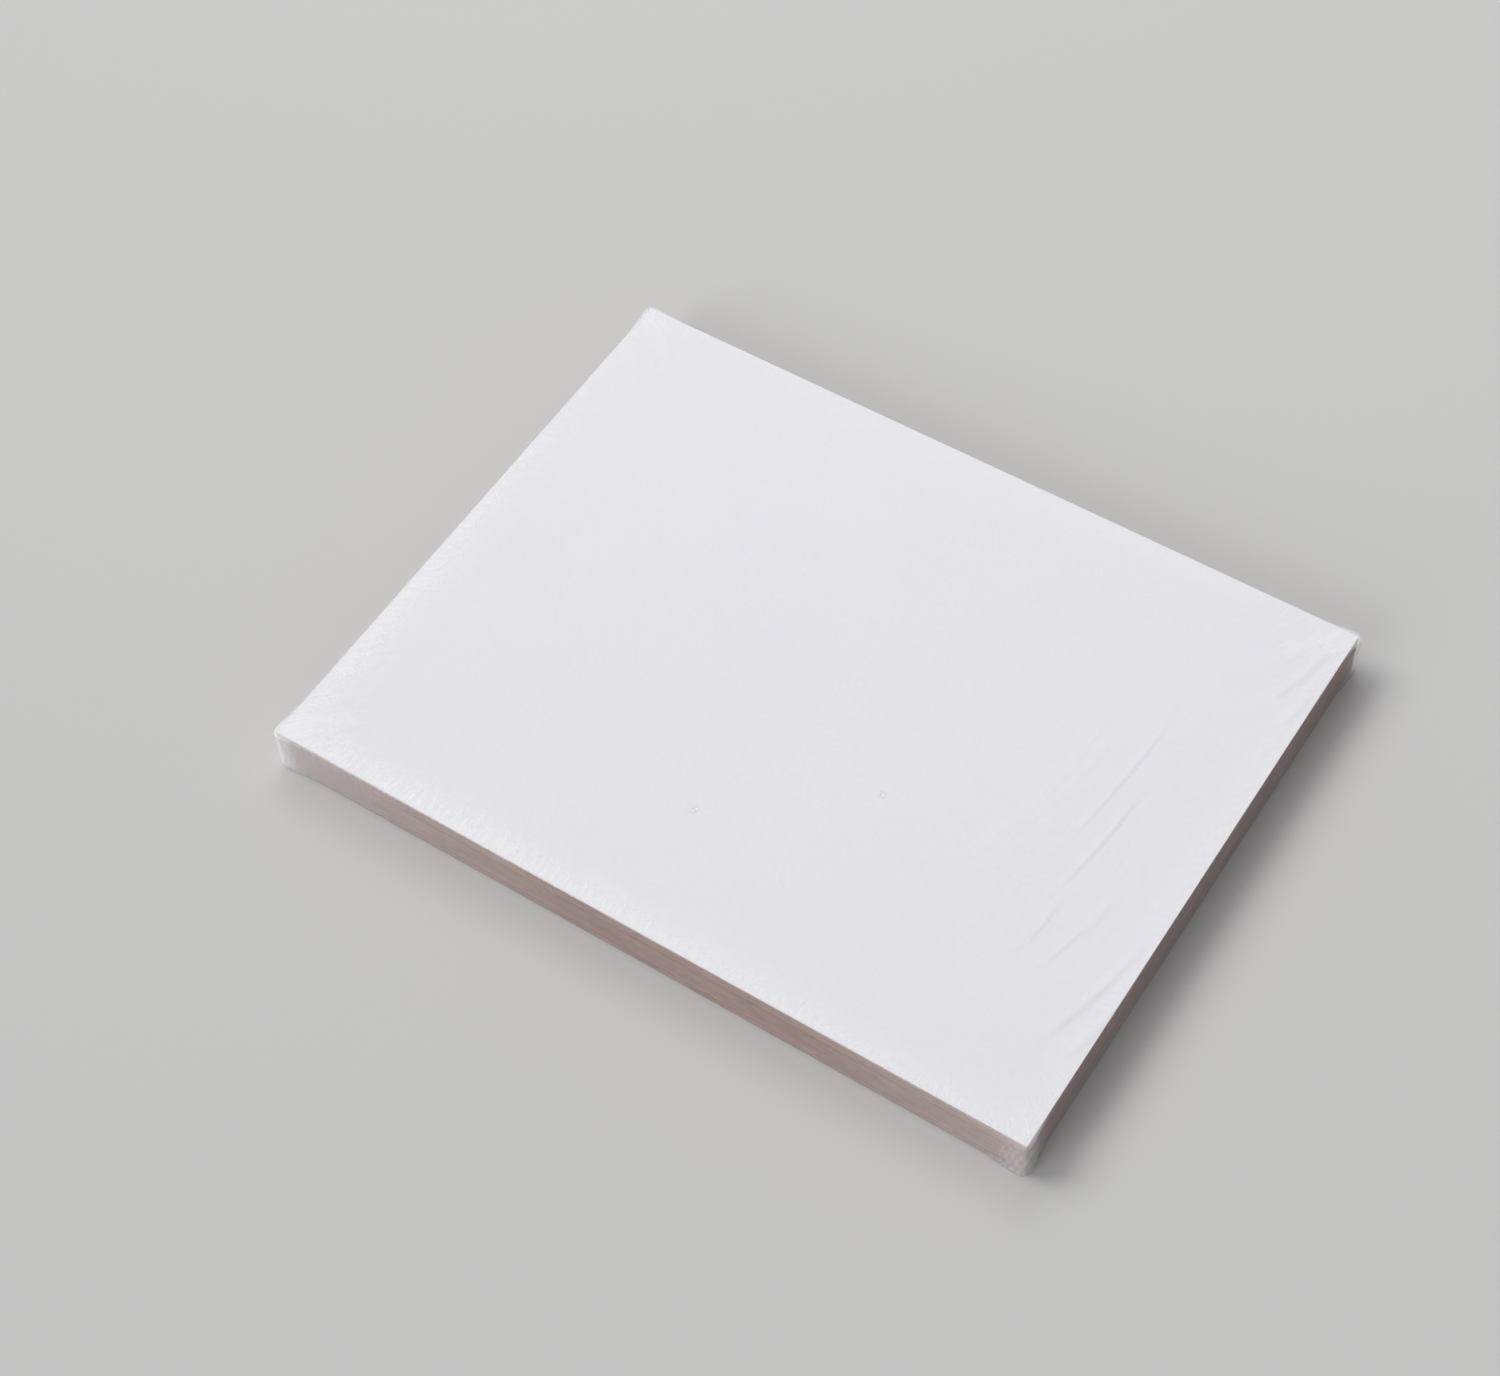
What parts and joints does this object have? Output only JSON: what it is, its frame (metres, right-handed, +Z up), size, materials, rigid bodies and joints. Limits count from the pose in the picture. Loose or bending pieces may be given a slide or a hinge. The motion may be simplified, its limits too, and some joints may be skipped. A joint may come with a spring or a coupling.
{
  "type": "stack of shipping label sheets",
  "caption": "Stack of blank self-adhesive label sheets with square corners, sealed in clear shrink film that is pleated along its edges.",
  "frame": {"origin": "middle of the base, on the surface that the stack lies on", "axes": "+X along the sheets' long side, +Y across them, +Z up through the stack; -Y is the long side that the picture shows"},
  "size_m": [0.2828, 0.2192, 0.0184],
  "materials": {
    "label_paper": "matt white label paper, with grey-beige cut edges",
    "shrink_film": "clear glossy shrink film"
  },
  "bodies": {
    "root": {"label_sheets": "label_paper", "shrink_film": "shrink_film"}
  },
  "joints": []
}
